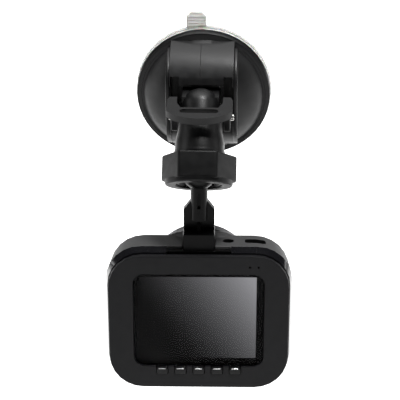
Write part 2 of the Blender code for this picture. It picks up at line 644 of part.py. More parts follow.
finish(bezel, bezel_black)

near_w = BEZEL_WIDTH + 0.8
near_h = BEZEL_HEIGHT + 0.8
trim_start = BEZEL_THICKNESS + GAP
trim = slab("trim_band", rounded(near_w, near_h, BEZEL_CORNER + 0.3), trim_start, TRIM_END, camera_frame,
            far=(BODY_WIDTH / near_w, BODY_HEIGHT / near_h))
inner_h = TRIM_FLOOR + BODY_HEIGHT / 2 - 2.6
cut(trim,
    slab("trim_bore", rounded(BODY_WIDTH - 5.4, inner_h, 9.5, (0, TRIM_FLOOR - inner_h / 2)), 0, 8,
         camera_frame, cutters),
    box("lip_notch", (-LIP_HALF - GAP, 0, LIP_LOW - GAP), (LIP_HALF + GAP, 8, 30), camera_frame, cutters))
finish(trim, gloss)

shell_start = TRIM_END + GAP
shell = slab("front_shell", rounded(BODY_WIDTH, BODY_HEIGHT, BODY_CORNER), shell_start, BODY_DEPTH,
             camera_frame, far=(1 - 1.2 / BODY_WIDTH, 1 - 1.2 / BODY_HEIGHT))
bevel(shell, 1.8, 3, 60.0)
swell = ball("swell_form", 10.0, (LENS_X, BODY_DEPTH, LENS_Z), None, cutters, (2.5, 0.9, 1.86), 32)
swell.parent = camera_frame
trimmed = bmesh.new()
trimmed.from_mesh(swell.data)
everything = trimmed.verts[:] + trimmed.edges[:] + trimmed.faces[:]
bmesh.ops.bisect_plane(trimmed, geom=everything, plane_co=(0, (BODY_DEPTH + 0.8) * MM, 0),
                       plane_no=(0, 1, 0), clear_outer=True)
bmesh.ops.holes_fill(trimmed, edges=[e for e in trimmed.edges if e.is_boundary])
trimmed.to_mesh(swell.data)
trimmed.free()
join(shell, swell)
shell_inside = 2 * SHELL_WALL + 0.8
cut(shell, slab("shell_bore", rounded(BODY_WIDTH - shell_inside, BODY_HEIGHT - shell_inside, 10.8),
                0, BODY_DEPTH - SHELL_WALL, camera_frame, cutters))
slot_floor = FLANGE_LOW - GAP
slot_top = FLANGE_LOW + FLANGE_THICKNESS + GAP
join(shell, box("slot_block", (-FLANGE_HALF - 1.1, shell_start, slot_floor - 1.0),
                (FLANGE_HALF + 1.1, BODY_DEPTH - 1.0, slot_top + 0.3), camera_frame, cutters))
cut(shell,
    box("slot_cut", (-FLANGE_HALF - GAP, 0, slot_floor), (FLANGE_HALF + GAP, FLANGE_END + GAP, slot_top),
        camera_frame, cutters),
    box("slot_mouth", (-BLOCK_HALF - GAP, 0, slot_top - 1), (BLOCK_HALF + GAP, BLOCK_REAR + GAP, 40),
        camera_frame, cutters),
    rod("jack_hole", JACK_BORE, 24, 30, "Z", (JACK_X, PORT_Y, 0), camera_frame, cutters),
    rod("jack_pocket", 2.3 + GAP, 10, 24.4, "Z", (JACK_X, PORT_Y, 0), camera_frame, cutters),
    slab("usb_hole", rounded(USB_WIDTH, USB_DEPTH, 1.0, (USB_X, 0), 3), 0, 6, None, cutters),
    rod("lens_bore", BARREL_RADIUS + GAP, 10, 30, "Y", (LENS_X, 0, LENS_Z), camera_frame, cutters),
    box("card_slot", (CARD_X - CARD_WIDTH / 2 - GAP, CARD_Y - CARD_THICKNESS / 2 - GAP, -30),
        (CARD_X + CARD_WIDTH / 2 + GAP, CARD_Y + CARD_THICKNESS / 2 + GAP, -22), camera_frame, cutters))
usb_hole = cutters.objects["usb_hole"]
usb_hole.data.transform(Matrix.Rotation(pi / 2, 4, "X"))
usb_hole.data.transform(Matrix.Translation((0, PORT_Y * MM, 24 * MM)))
usb_hole.parent = camera_frame
for number, (x, z) in enumerate(((-1, -1), (1, -1), (-1, 1), (1, 1))):
    at = (x * SCREW_X, 0, z * SCREW_Z)
    cut(shell, rod("case_bore", 1.2, 10, 20, at=at, parent=camera_frame, group=cutters, sides=24),
        rod("case_head_bore", 2.1, BODY_DEPTH - 1.1, 20, at=at, parent=camera_frame, group=cutters,
            sides=32))
    screw = turned(f"case_screw_{number + 1}",
                   [(0, BODY_DEPTH - 0.1), (1.5, BODY_DEPTH - 0.1), (1.8, BODY_DEPTH - 0.4),
                    (1.8, BODY_DEPTH - 0.8), (0.9, BODY_DEPTH - 0.8), (0.9, 8.2), (0.5, 7.6), (0, 7.6)],
                   at=at, parent=camera_frame, steps=16)
    finish(screw, steel)
finish(shell, grained)

# ---------------------------------------------------------------- lens
at_lens = (LENS_X, 0, LENS_Z)
ring = turned("lens_ring", [(RING_RADIUS - 0.5, BODY_DEPTH + 6.0), (RING_RADIUS, BODY_DEPTH + 5.4),
                            (RING_RADIUS, BODY_DEPTH + 1.1), (RING_BORE, BODY_DEPTH + 1.1),
                            (RING_BORE, BODY_DEPTH + 4.6), (RING_BORE + 0.8, BODY_DEPTH + 6.0)], at=at_lens,
              parent=camera_frame, steps=56)
finish(ring, silver)
cone = turned("lens_cone", [(RING_BORE - GAP, BODY_DEPTH + 4.2), (RING_BORE - GAP, BODY_DEPTH + 1.1),
                            (BARREL_RADIUS + GAP, BODY_DEPTH + 1.1), (BARREL_RADIUS + GAP, BODY_DEPTH + 2.0),
                            (RING_BORE - 1.2, BODY_DEPTH + 4.2)], at=at_lens, parent=camera_frame)
finish(cone, lens_black)
board_front = BOARD_Y + BOARD_THICKNESS
barrel = turned("lens_barrel", [(BARREL_RADIUS - 0.4, BODY_DEPTH + 3.0), (BARREL_RADIUS, BODY_DEPTH + 2.6),
                                (BARREL_RADIUS, board_front + 2.0), (5.6, board_front + 2.0),
                                (5.6, BODY_DEPTH - 1.5), (6.6, BODY_DEPTH - 1.5), (6.6, BODY_DEPTH + 3.0)],
                at=at_lens, parent=camera_frame)
finish(barrel, lens_black)
front_lens = turned("lens_glass", [(0, BODY_DEPTH + 2.4), (2.4, BODY_DEPTH + 2.1), (4.4, BODY_DEPTH + 1.3),
                                   (6.3, BODY_DEPTH), (6.3, BODY_DEPTH - 1.2), (0, BODY_DEPTH - 1.2)],
                    at=at_lens, parent=camera_frame)
finish(front_lens, lens_glass_mat)

# ---------------------------------------------------------------- screen, keys
window = slab("lcd_window",
              rounded(WINDOW_WIDTH - 2 * GAP, WINDOW_HEIGHT - 2 * GAP, WINDOW_CORNER - GAP, (0, SCREEN_Z)),
              WINDOW_SINK, BEZEL_THICKNESS, camera_frame)
finish(window, window_mat)
panel_y = BEZEL_THICKNESS + GAP
panel = box("lcd_panel", (-PANEL_HALF, panel_y, PANEL_LOW), (PANEL_HALF, panel_y + 2.2, PANEL_HIGH),
            camera_frame)
finish(panel, panel_mat)
pad_y = BEZEL_THICKNESS + 1.6
pad_half = KEYS_X[-1] + KEY_WIDTH / 2 + 1.55
pad = box("key_pad", (-pad_half, pad_y, KEY_Z - 2.2), (pad_half, pad_y + 1.2, KEY_Z + 1.1), camera_frame)
finish(bevel(pad, 0.3, 2), rubber)
for index, x in enumerate(KEYS_X):
    holder = frame(f"key_{index + 1}_axis", at=(x, 0, KEY_Z), parent=camera_frame)
    key = slab(f"key_{index + 1}", rounded(KEY_WIDTH, KEY_HEIGHT, 0.5, steps=4), -KEY_PROUD,
               BEZEL_THICKNESS + 0.9, holder)
    bevel(key, 0.25, 2)
    foot = box("key_foot", (-KEY_WIDTH / 2 - 0.6, BEZEL_THICKNESS + 0.3, -KEY_HEIGHT / 2 - 0.6),
               (KEY_WIDTH / 2 + 0.6, BEZEL_THICKNESS + 0.8, KEY_HEIGHT / 2 - 0.2), holder, cutters)
    finish(join(key, foot), key_mat)

# ---------------------------------------------------------------- inside the case
board = box("main_board", (-BOARD_WIDTH / 2, BOARD_Y, BOARD_LOW),
            (BOARD_WIDTH / 2, board_front, BOARD_LOW + BOARD_HEIGHT), camera_frame)
finish(board, board_mat)
sensor = box("image_sensor", (LENS_X - 4.6, board_front + GAP, LENS_Z - 4.6),
             (LENS_X + 4.6, board_front + 1.6, LENS_Z + 4.6), camera_frame)
finish(bevel(sensor, 0.2, 1), chip_mat)
battery = box("battery", BATTERY_CORNER, Vector(BATTERY_CORNER) + Vector(BATTERY_SIZE), camera_frame)
finish(bevel(battery, 0.8, 3), battery_mat)
speaker = turned("speaker",
                 [(0, 13.6), (4.8, 13.6), (5.2, 14.2), (SPEAKER_RADIUS, 14.2), (SPEAKER_RADIUS, 11.6),
                  (4.4, 11.4), (4.4, 9.4), (0, 9.4)], at=(21.2, 0, -9.0), parent=camera_frame, steps=32)
finish(speaker, lens_black)
mic = rod("microphone", 1.1, panel_y, panel_y + 1.4, at=(SIGNAL_X[0], 0, SIGNAL_Z), parent=camera_frame,
          sides=20)
finish(bevel(mic, 0.15, 1), steel)
led = rod("status_led", 1.0, panel_y, panel_y + 1.6, at=(SIGNAL_X[1], 0, SIGNAL_Z), parent=camera_frame,
          sides=20)
finish(bevel(led, 0.15, 1), led_mat)

socket = box("usb_socket", (USB_X - 3.85, PORT_Y - 2.4, 18.9), (USB_X + 3.85, PORT_Y + 2.4, 23.2),
             camera_frame)
cut(bevel(socket, 0.4, 2),
    box("usb_mouth", (USB_X - 3.5, PORT_Y - 1.7, 20.2), (USB_X + 3.5, PORT_Y + 1.7, 26), camera_frame,
        cutters))
join(socket, box("usb_tongue", (USB_X - 2.6, PORT_Y - 0.4, 20.0), (USB_X + 2.6, PORT_Y + 0.4, 23.4),
                 camera_frame, cutters))
finish(socket, steel)
jack = turned("av_jack", [(1.3, 24.1), (2.3, 24.1), (2.3, 17.0), (1.3, 17.0)], axis="Z",
              at=(JACK_X, PORT_Y, 0), parent=camera_frame, steps=40)
finish(jack, black)
low_y = CARD_Y - CARD_THICKNESS / 2
high_y = CARD_Y + CARD_THICKNESS / 2
card_socket = box("card_socket", (CARD_X - 6.6, board_front + 0.2, -24.2),
                  (CARD_X + 6.6, high_y + 0.8, -9.6), camera_frame)
cut(card_socket, box("card_mouth", (CARD_X - CARD_WIDTH / 2 - 0.25, low_y - 0.2, -30),
                     (CARD_X + CARD_WIDTH / 2 + 0.25, high_y + 0.2, -10.6), camera_frame, cutters))
finish(card_socket, steel)
card_axis = frame("card_axis", at=(CARD_X, CARD_Y, -26.2), parent=camera_frame)
card = box("memory_card", (-CARD_WIDTH / 2, -CARD_THICKNESS / 2, 0),
           (CARD_WIDTH / 2, CARD_THICKNESS / 2, CARD_LENGTH), card_axis)
finish(bevel(card, 0.15, 1), card_mat)
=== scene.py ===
import json
from math import cos, pi, radians, sin

import bmesh
import bpy
from mathutils import Matrix, Vector
from mathutils.bvhtree import BVHTree


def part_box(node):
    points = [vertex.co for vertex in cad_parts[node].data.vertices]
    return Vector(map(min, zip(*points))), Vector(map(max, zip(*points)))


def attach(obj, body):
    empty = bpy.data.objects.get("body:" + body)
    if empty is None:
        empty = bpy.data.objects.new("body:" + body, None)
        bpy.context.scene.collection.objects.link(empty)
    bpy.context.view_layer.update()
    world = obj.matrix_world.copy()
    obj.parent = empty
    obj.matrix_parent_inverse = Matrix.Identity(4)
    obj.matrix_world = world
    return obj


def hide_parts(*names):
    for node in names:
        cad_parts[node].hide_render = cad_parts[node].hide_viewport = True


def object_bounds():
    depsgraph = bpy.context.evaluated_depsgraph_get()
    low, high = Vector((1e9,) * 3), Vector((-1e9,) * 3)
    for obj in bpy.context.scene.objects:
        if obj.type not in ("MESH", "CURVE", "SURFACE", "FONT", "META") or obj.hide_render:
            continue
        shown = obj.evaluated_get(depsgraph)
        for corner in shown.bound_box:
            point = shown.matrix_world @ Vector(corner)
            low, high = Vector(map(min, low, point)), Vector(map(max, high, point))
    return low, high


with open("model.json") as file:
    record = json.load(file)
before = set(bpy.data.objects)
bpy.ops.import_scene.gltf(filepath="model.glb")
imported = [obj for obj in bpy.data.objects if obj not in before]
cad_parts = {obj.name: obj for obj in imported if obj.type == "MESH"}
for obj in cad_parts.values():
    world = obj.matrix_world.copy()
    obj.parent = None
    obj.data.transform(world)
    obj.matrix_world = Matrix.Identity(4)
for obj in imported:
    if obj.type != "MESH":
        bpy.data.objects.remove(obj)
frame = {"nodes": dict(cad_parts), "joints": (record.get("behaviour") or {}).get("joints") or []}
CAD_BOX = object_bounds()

bl_info = {
    "name": "Dash Camera Looks",
    "version": (1, 0, 0),
    "blender": (4, 5, 0),
    "location": "3D View > Sidebar > Dash Camera",
    "description": "Finishes, gel cup, mould lines and studio stage for a dash camera",
    "category": "Object",
}

MM = 0.001
JOINTS = {joint["name"]: joint for joint in frame["joints"]}


# ---------------------------------------------------------------- frames taken from the joints
def axes_matrix(origin, forward, up_hint=(0, 0, 1)):
    """Matrix whose Y runs along forward, with Z as near up_hint as it can be."""
    y = Vector(forward).normalized()
    x = y.cross(Vector(up_hint)).normalized()
    z = x.cross(y)
    turned = Matrix((x, y, z)).transposed().to_4x4()
    return Matrix.Translation(Vector(origin)) @ turned


def middle(node):
    """Centre of a node's box."""
    low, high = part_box(node)
    return (low + high) / 2


CUP = axes_matrix((0, 0, 0), JOINTS["stud_slide"]["axis"])
CASE = axes_matrix(middle("lcd_panel"), JOINTS["key_1_press"]["axis"])

# ---------------------------------------------------------------- fixed sizes of the added detail
RAY_START = -60 * MM              # in front of the mount, on the driver's side
HOOD_LINE_SIDE = -0.4 * MM        # beside the hood's middle
HOOD_LINE_STEP = 0.25 * MM
HOOD_LINE_STEPS = range(52, 84)
RIM_LINE_RADIUS = 23.8 * MM
GROOVE_RADIUS = 22.5 * MM
GROOVE_HALF_TURN = 52             # degrees each side of level
GROOVE_BEAD = 0.00014
RING_POINTS = 120
CUP_FLANGE = -3.2 * MM
CUP_STEPS = 128
TAB_FOOT = 20.0 * MM
TAB_CORNER = 1.5 * MM
TAB_BACK, TAB_FACE = -0.1 * MM, -1.15 * MM
TAB_PLAIN_FOOT, TAB_PLAIN_TIP = 3.0 * MM, 0.9 * MM
TAB_RIB_HEIGHT = 0.16 * MM
TAB_EDGE_ROUND = 0.35 * MM
TAB_EDGE_START = 0.82             # share of the half width
TAB_ROWS, TAB_COLUMNS = 60, 12
# port walls above this line get painted shade
PORT_SHADE_FLOOR = 22 * MM             # faces above this line a port
# ring of painted shade round each small hole, as (radius, depth) in millimetres
HOLE_SHADE_PROFILE = ((0.38, 0.3), (0.38, -0.02), (0.62, -0.02), (0.66, 0.0), (0.66, 0.3), (0.38, 0.3))
KEY_EDGE_RISE = 0.00125           # key's middle to its bright edge
KEY_EDGE_HALF = 1.25 * MM
KEY_EDGE_DROP = 0.05 * MM         # ends below the middle
KEY_EDGE_INSET = 0.10 * MM
KEY_EDGE_BEAD = 0.2 * MM

# ---------------------------------------------------------------- colours outside the panel
# painted shade on the walls inside the two port openings
PORT_PAINTED_SHADE = (0.0015, 0.0015, 0.0015)
# painted shade round the two small holes, which makes them look wider
SIGNAL_PAINTED_SHADE = (0.001, 0.001, 0.001)
WINDOW_CLEAR = (0.96, 0.96, 0.97)
DISPLAY_BLACK = (0.004, 0.004, 0.0045)
RING_SILVER = (0.60, 0.60, 0.61)
LENS_BLACK = (0.008, 0.008, 0.008)
LENS_DEPTH = (0.03, 0.02, 0.06)
LENS_COATING = (0.55, 0.35, 0.95)
KEY_BLACK = (0.007, 0.007, 0.0075)
KEY_POLISH = (0.95, 0.95, 0.95)
PAD_GREY = (0.03, 0.03, 0.03)
AXLE_STEEL = (0.72, 0.71, 0.68)
SCREW_STEEL = (0.55, 0.55, 0.55)
SOCKET_STEEL = (0.16, 0.16, 0.165)
JACK_BLACK = (0.002, 0.002, 0.002)
BOARD_DARK, BOARD_LIGHT = (0.012, 0.10, 0.035), (0.016, 0.13, 0.045)
TRACK_GREEN = (0.03, 0.19, 0.07)
SENSOR_BLACK = (0.02, 0.02, 0.024)
BATTERY_FOIL = (0.6, 0.61, 0.63)
SPEAKER_BLACK = (0.012, 0.012, 0.012)
LAMP_RED = (0.32, 0.03, 0.02)
CARD_BLACK = (0.018, 0.018, 0.024)
FLOOR_WHITE = (0.9, 0.9, 0.9)

# ---------------------------------------------------------------- painted reflection on the display, camera and lamps
# painted reflection on the display: its rectangle, slopes and tones, drawn as a glow
REFLECTION_HALF_WIDTH, REFLECTION_HALF_HEIGHT = 20.3 * MM, 15.7 * MM
PAINTED_REFLECTION_ACROSS, PAINTED_REFLECTION_UP = 3.26 / MM, 2.22 / MM      # steepness of the glow each way
PAINTED_REFLECTION_START, PAINTED_REFLECTION_END = -56.0, 92.0
PAINTED_REFLECTION_DARK, PAINTED_REFLECTION_BRIGHT = 0.015, 0.56
DISPLAY_GAMMA = 2.2
CAMERA_TARGET = Vector((0.4, -36.9, -30.6)) * MM
SENSOR_WIDTH = 36
CLIP_START = 0.01
FLOOR_SIZE = 8
WORLD_STRENGTH = 0.008
FLOOR_GLOW = (0.36, 0.75)         # near and far
FLOOR_GLOW_DEPTH = (0.1, 0.5)     # metres behind the object
# Name, place, aim, width, height and watts.
LAMPS = (("overhead", (0.0, 0.10, 0.75), (0, -0.03, -0.05), 0.9, 0.7, 3.0),
         ("left_strip", (-0.75, -0.10, 0.12), (0, -0.04, -0.06), 0.30, 0.9, 0.9),
         ("right_strip", (0.75, 0.0, 0.15), (0, -0.04, -0.06), 0.26, 0.9, 0.55),
         ("key_spot", (0.124, -0.184, 0.564), (0, -0.02, 0.0), 0.13, 0.13, 2.4),
         ("floor_panel", (0, 1.45, 0.0), (0, 1.45, -1), 3.2, 2.2, 34))


# ---------------------------------------------------------------- settings
class DASHCAM_PG_sizes(bpy.types.PropertyGroup):
    """Sizes of the detail that is added to the fixed frame."""
    cup_radius: bpy.props.FloatProperty(
        name="Gel Cup Radius", description="Outer radius of the clear gel cup",
        default=0.0246, min=0.02, max=0.03, unit="LENGTH", precision=5)
    cup_bead: bpy.props.FloatProperty(
        name="Rim Bead", description="Thickness of the bead round the cup's rim",
        default=0.0009, min=0.0003, max=0.002, unit="LENGTH", precision=5)
    tab_width: bpy.props.FloatProperty(
        name="Pull Tab Width", description="Width of the tab that breaks the suction",
        default=0.0071, min=0.004, max=0.012, unit="LENGTH", precision=5)
    tab_reach: bpy.props.FloatProperty(
        name="Pull Tab Reach", description="Cup's axis to the tip of the tab",
        default=0.0295, min=0.026, max=0.032, unit="LENGTH", precision=5)
    tab_shift: bpy.props.FloatProperty(
        name="Pull Tab Shift", description="Sideways place of the tab from the middle",
        default=-0.0025, min=-0.01, max=0.01, unit="LENGTH", precision=5)
    tab_ribs: bpy.props.IntProperty(
        name="Grip Ribs", description="Ribs across the pull tab", default=5, min=2, max=9)
    seam_radius: bpy.props.FloatProperty(
        name="Mould Line", description="Radius of the bead at a mould's parting line",
        default=0.00011, min=0.00004, max=0.0003, unit="LENGTH", precision=6)


class DASHCAM_PG_colours(bpy.types.PropertyGroup):
    """Colours of the finishes."""
    mount_colour: bpy.props.FloatVectorProperty(
        name="Mount Plastic", description="Satin plastic of the suction mount", subtype="COLOR",
        size=3, default=(0.0095, 0.0095, 0.010), min=0, max=1)
    bracket_colour: bpy.props.FloatVectorProperty(
        name="Bracket Plastic", description="Smooth black plastic of the ball bracket",
        subtype="COLOR", size=3, default=(0.0022, 0.0022, 0.0024), min=0, max=1)
    bezel_colour: bpy.props.FloatVectorProperty(
        name="Bezel", description="Matte face round the screen", subtype="COLOR",
        size=3, default=(0.0155, 0.0155, 0.017), min=0, max=1)
    shell_colour: bpy.props.FloatVectorProperty(
        name="Front Shell", description="Grained grey shell on the lens side", subtype="COLOR",
        size=3, default=(0.088, 0.088, 0.089), min=0, max=1)
    trim_colour: bpy.props.FloatVectorProperty(
        name="Trim Band", description="Gloss band round the case", subtype="COLOR",
        size=3, default=(0.010, 0.010, 0.012), min=0, max=1)
    gel_colour: bpy.props.FloatVectorProperty(
        name="Gel", description="Clear gel of the suction cup", subtype="COLOR",
        size=3, default=(0.94, 0.94, 0.91), min=0, max=1)


class DASHCAM_PG_stage(bpy.types.PropertyGroup):
    """Camera, floor and lights."""
    azimuth: bpy.props.FloatProperty(
        name="Azimuth", description="Camera's turn round the upright axis",
        default=radians(3), subtype="ANGLE")
    elevation: bpy.props.FloatProperty(
        name="Elevation", description="Camera's height above level",
        default=radians(20), subtype="ANGLE")
    distance: bpy.props.FloatProperty(
        name="Distance", description="Camera to the point it looks at",
        default=0.414, unit="LENGTH")
    lens: bpy.props.FloatProperty(
        name="Lens", description="Focal length in millimetres on a 36 mm sensor", default=107.5)
    floor_drop: bpy.props.FloatProperty(
        name="Floor Drop", description="Lowest point of the object to the floor",
        default=0.25, unit="LENGTH")


# ---------------------------------------------------------------- node helpers
def start_material(name):
    """New material with its node tree and its Principled shader."""
    mat = bpy.data.materials.new(name)
    mat.use_nodes = True
    shader = mat.node_tree.nodes["Principled BSDF"]
    return mat, mat.node_tree, shader


def object_coords(tree):
    """Place on the object in metres, which stays with it as it moves."""
    return tree.nodes.new("ShaderNodeTexCoord").outputs["Object"]


def noise(tree, coords, feature, detail=2.0):
    """Noise whose features are about this many metres across."""
    node = tree.nodes.new("ShaderNodeTexNoise")
    node.inputs["Scale"].default_value = 1.0 / feature
    node.inputs["Detail"].default_value = detail
    tree.links.new(coords, node.inputs["Vector"])
    return node.outputs["Fac"]


def remap(tree, value, low, high, start=0.3, end=0.7):
    """Carry start..end to low..high."""
    node = tree.nodes.new("ShaderNodeMapRange")
    node.inputs["From Min"].default_value = start
    node.inputs["From Max"].default_value = end
    node.inputs["To Min"].default_value = low
    node.inputs["To Max"].default_value = high
    tree.links.new(value, node.inputs["Value"])
    return node.outputs["Result"]


def blend_colours(tree, factor, first, second):
    """Colour between first and second by a factor."""
    node = tree.nodes.new("ShaderNodeMix")
    node.data_type = "RGBA"
    node.inputs[6].default_value = (*first, 1)
    node.inputs[7].default_value = (*second, 1)
    tree.links.new(factor, node.inputs[0])
    return node.outputs[2]


def bump(tree, height, distance, normal=None):
    """Relief this many metres deep, laid over another where one is given."""
    node = tree.nodes.new("ShaderNodeBump")
    node.inputs["Distance"].default_value = distance
    node.inputs["Strength"].default_value = 1.0
    tree.links.new(height, node.inputs["Height"])
    if normal is not None:
        tree.links.new(normal, node.inputs["Normal"])
    return node.outputs["Normal"]


def scaled(colour, factor):
    """Colour made lighter or darker, channel by channel."""
    return tuple(min(1.0, channel * factor) for channel in colour)


# ---------------------------------------------------------------- finishes
def moulded_plastic(name, colour, roughness, grain=0.0003, depth=0.000006, coat=0.0, shine=0.5):
    """Injection-moulded plastic: fine grain, uneven gloss and faintly rubbed patches."""
    mat, tree, shader = start_material(name)
    coords = object_coords(tree)
    broad = noise(tree, coords, 0.009, 3)
    rubbed = noise(tree, coords, 0.0028, 4)
    tree.links.new(blend_colours(tree, broad, scaled(colour, 0.88), scaled(colour, 1.12)),
                   shader.inputs["Base Color"])
    tree.links.new(remap(tree, rubbed, roughness * 0.86, roughness * 1.14),
                   shader.inputs["Roughness"])
    tree.links.new(bump(tree, noise(tree, coords, grain, 2), depth), shader.inputs["Normal"])
    shader.inputs["Specular IOR Level"].default_value = shine
    shader.inputs["Coat Weight"].default_value = coat
    shader.inputs["Coat Roughness"].default_value = 0.08
    return mat


def grained_plastic(name, colour, roughness):
    """Spark-eroded texture: cells about a third of a millimetre across."""
    mat, tree, shader = start_material(name)
    coords = object_coords(tree)
    cells = tree.nodes.new("ShaderNodeTexVoronoi")
    cells.inputs["Scale"].default_value = 1 / 0.00038
    tree.links.new(coords, cells.inputs["Vector"])
    first = bump(tree, cells.outputs["Distance"], 0.000035)
    tree.links.new(bump(tree, noise(tree, coords, 0.00018, 3), 0.00001, normal=first),
                   shader.inputs["Normal"])
    broad = noise(tree, coords, 0.007, 3)
    tree.links.new(blend_colours(tree, broad, scaled(colour, 0.86), scaled(colour, 1.14)),
                   shader.inputs["Base Color"])
    tree.links.new(remap(tree, broad, roughness - 0.05, roughness + 0.05),
                   shader.inputs["Roughness"])
    return mat


def machined_metal(name, colour, roughness, brushed=0.0004):
    """Turned or rolled metal with fine lines and small stains."""
    mat, tree, shader = start_material(name)
    shader.inputs["Metallic"].default_value = 1.0
    coords = object_coords(tree)
    stain = noise(tree, coords, 0.003, 4)
    tree.links.new(blend_colours(tree, stain, scaled(colour, 0.88), scaled(colour, 1.06)),
                   shader.inputs["Base Color"])
    tree.links.new(remap(tree, stain, roughness * 0.75, roughness * 1.3),
                   shader.inputs["Roughness"])
    tree.links.new(bump(tree, noise(tree, coords, brushed, 2), 0.000003), shader.inputs["Normal"])
    return mat


def soft_gel(name, colour, clearness, roughness):
    """Clear soft gel: slightly cloudy, with dust held on its skin."""
    mat, tree, shader = start_material(name)
    shader.inputs["Transmission Weight"].default_value = clearness
    shader.inputs["IOR"].default_value = 1.42
    shader.inputs["Subsurface Weight"].default_value = 0.25
    shader.inputs["Subsurface Scale"].default_value = 0.002
    coords = object_coords(tree)
    dust = noise(tree, coords, 0.0012, 5)
    tree.links.new(blend_colours(tree, dust, scaled(colour, 0.92), scaled(colour, 1.05)),
                   shader.inputs["Base Color"])
    tree.links.new(remap(tree, dust, roughness - 0.08, roughness + 0.08),
                   shader.inputs["Roughness"])
    tree.links.new(bump(tree, noise(tree, coords, 0.0007, 3), 0.000006), shader.inputs["Normal"])
    return mat


def coated_glass(name, colour, transmission, ior, tint=None):
    """Glass or clear acrylic with faint wiping marks."""
    mat, tree, shader = start_material(name)
    shader.inputs["Base Color"].default_value = (*colour, 1)
    shader.inputs["Transmission Weight"].default_value = transmission
    shader.inputs["IOR"].default_value = ior
    if tint:
        shader.inputs["Coat Weight"].default_value = 1.0
        shader.inputs["Coat Roughness"].default_value = 0.02
        shader.inputs["Coat Tint"].default_value = (*tint, 1)
    coords = object_coords(tree)
    tree.links.new(remap(tree, noise(tree, coords, 0.004, 4), 0.015, 0.06),
                   shader.inputs["Roughness"])
    return mat


def painted_reflection_display(name):
    """Liquid crystal panel with a painted reflection, drawn as a glow that is darkest at its lower
    left, inside a black border.
    """
    mat, tree, shader = start_material(name)
    nodes, links = tree.nodes, tree.links
    place = nodes.new("ShaderNodeMapping")
    place.vector_type = "POINT"
    inverse = CASE.inverted()
    place.inputs["Location"].default_value = inverse.translation
    place.inputs["Rotation"].default_value = inverse.to_euler()
    links.new(object_coords(tree), place.inputs["Vector"])
    split = nodes.new("ShaderNodeSeparateXYZ")
    links.new(place.outputs["Vector"], split.inputs["Vector"])

    def calculate(operation, first, second):
        """Math node on sockets or plain numbers."""
        node = nodes.new("ShaderNodeMath")
        node.operation = operation
        for socket, value in zip(node.inputs, (first, second)):
            if isinstance(value, (int, float)):
                socket.default_value = value
            else:
                links.new(value, socket)
        return node.outputs[0]

    # painted reflection: glow rising towards the upper right, only inside its rectangle
    across, up = split.outputs["X"], split.outputs["Z"]
    rise = calculate("ADD", calculate("MULTIPLY", across, PAINTED_REFLECTION_ACROSS),
                     calculate("MULTIPLY", up, PAINTED_REFLECTION_UP))
    shade = remap(tree, rise, PAINTED_REFLECTION_DARK, PAINTED_REFLECTION_BRIGHT, start=PAINTED_REFLECTION_START, end=PAINTED_REFLECTION_END)
    linear = calculate("POWER", shade, DISPLAY_GAMMA)
    reflection_x = calculate("LESS_THAN", calculate("ABSOLUTE", across, 0), REFLECTION_HALF_WIDTH)
    reflection_z = calculate("LESS_THAN", calculate("ABSOLUTE", up, 0), REFLECTION_HALF_HEIGHT)
    masked_reflection = calculate("MULTIPLY", linear, calculate("MULTIPLY", reflection_x, reflection_z))
    combine = nodes.new("ShaderNodeCombineColor")
    for channel, gain in zip(("Red", "Green", "Blue"), (0.98, 0.98, 1.02)):
        links.new(calculate("MULTIPLY", masked_reflection, gain), combine.inputs[channel])
    links.new(combine.outputs["Color"], shader.inputs["Emission Color"])
    shader.inputs["Emission Strength"].default_value = 1.0
    shader.inputs["Base Color"].default_value = (*DISPLAY_BLACK, 1)
    shader.inputs["Roughness"].default_value = 0.3
    shader.inputs["Specular IOR Level"].default_value = 0.05
    return mat


def circuit_board(name):
    """Green solder mask with faint tracks."""
    mat, tree, shader = start_material(name)
    coords = object_coords(tree)
    tracks = tree.nodes.new("ShaderNodeTexBrick")
    tracks.inputs["Scale"].default_value = 260
    tracks.inputs["Color1"].default_value = (*BOARD_DARK, 1)
    tracks.inputs["Color2"].default_value = (*BOARD_LIGHT, 1)
    tracks.inputs["Mortar"].default_value = (*TRACK_GREEN, 1)
    tree.links.new(coords, tracks.inputs["Vector"])
    tree.links.new(tracks.outputs["Color"], shader.inputs["Base Color"])
    tree.links.new(remap(tree, noise(tree, coords, 0.002), 0.3, 0.5), shader.inputs["Roughness"])
    return mat


# ---------------------------------------------------------------- mesh helpers
def dress(node, material):
    """Give a frame node its finish and smooth shading that breaks at real edges."""
    obj = frame["nodes"][node]
    mesh = obj.data
    mesh.materials.clear()
    mesh.materials.append(material)
    for extra in ("custom_normal", "sharp_edge", "sharp_face"):
        if extra in mesh.attributes:
            mesh.attributes.remove(mesh.attributes[extra])
    mesh.polygons.foreach_set("use_smooth", [True] * len(mesh.polygons))
    weld = obj.modifiers.new("weld", "WELD")
    weld.merge_threshold = 0.000002
    split = obj.modifiers.new("edges", "EDGE_SPLIT")
    split.split_angle = radians(33)
    split.use_edge_sharp = False
    weighted = obj.modifiers.new("weighted", "WEIGHTED_NORMAL")
    weighted.keep_sharp = True
    return obj


def new_piece(name, data, material, body, replaces=()):
    """Object for mesh or curve data that rides on a body."""
    obj = bpy.data.objects.new(name, data)
    bpy.context.scene.collection.objects.link(obj)
    data.materials.append(material)
    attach(obj, body)
    if replaces:
        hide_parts(*replaces)
    return obj


def new_mesh(bm, name, sharp=None):
    """Mesh with its faces turned outward, smooth up to an angle where one is given."""
    bmesh.ops.recalc_face_normals(bm, faces=bm.faces)
    mesh = bpy.data.meshes.new(name)
    bm.to_mesh(mesh)
    bm.free()
    if sharp is not None:
        mesh.shade_smooth()
        mesh.set_sharp_from_angle(angle=radians(sharp))
    return mesh


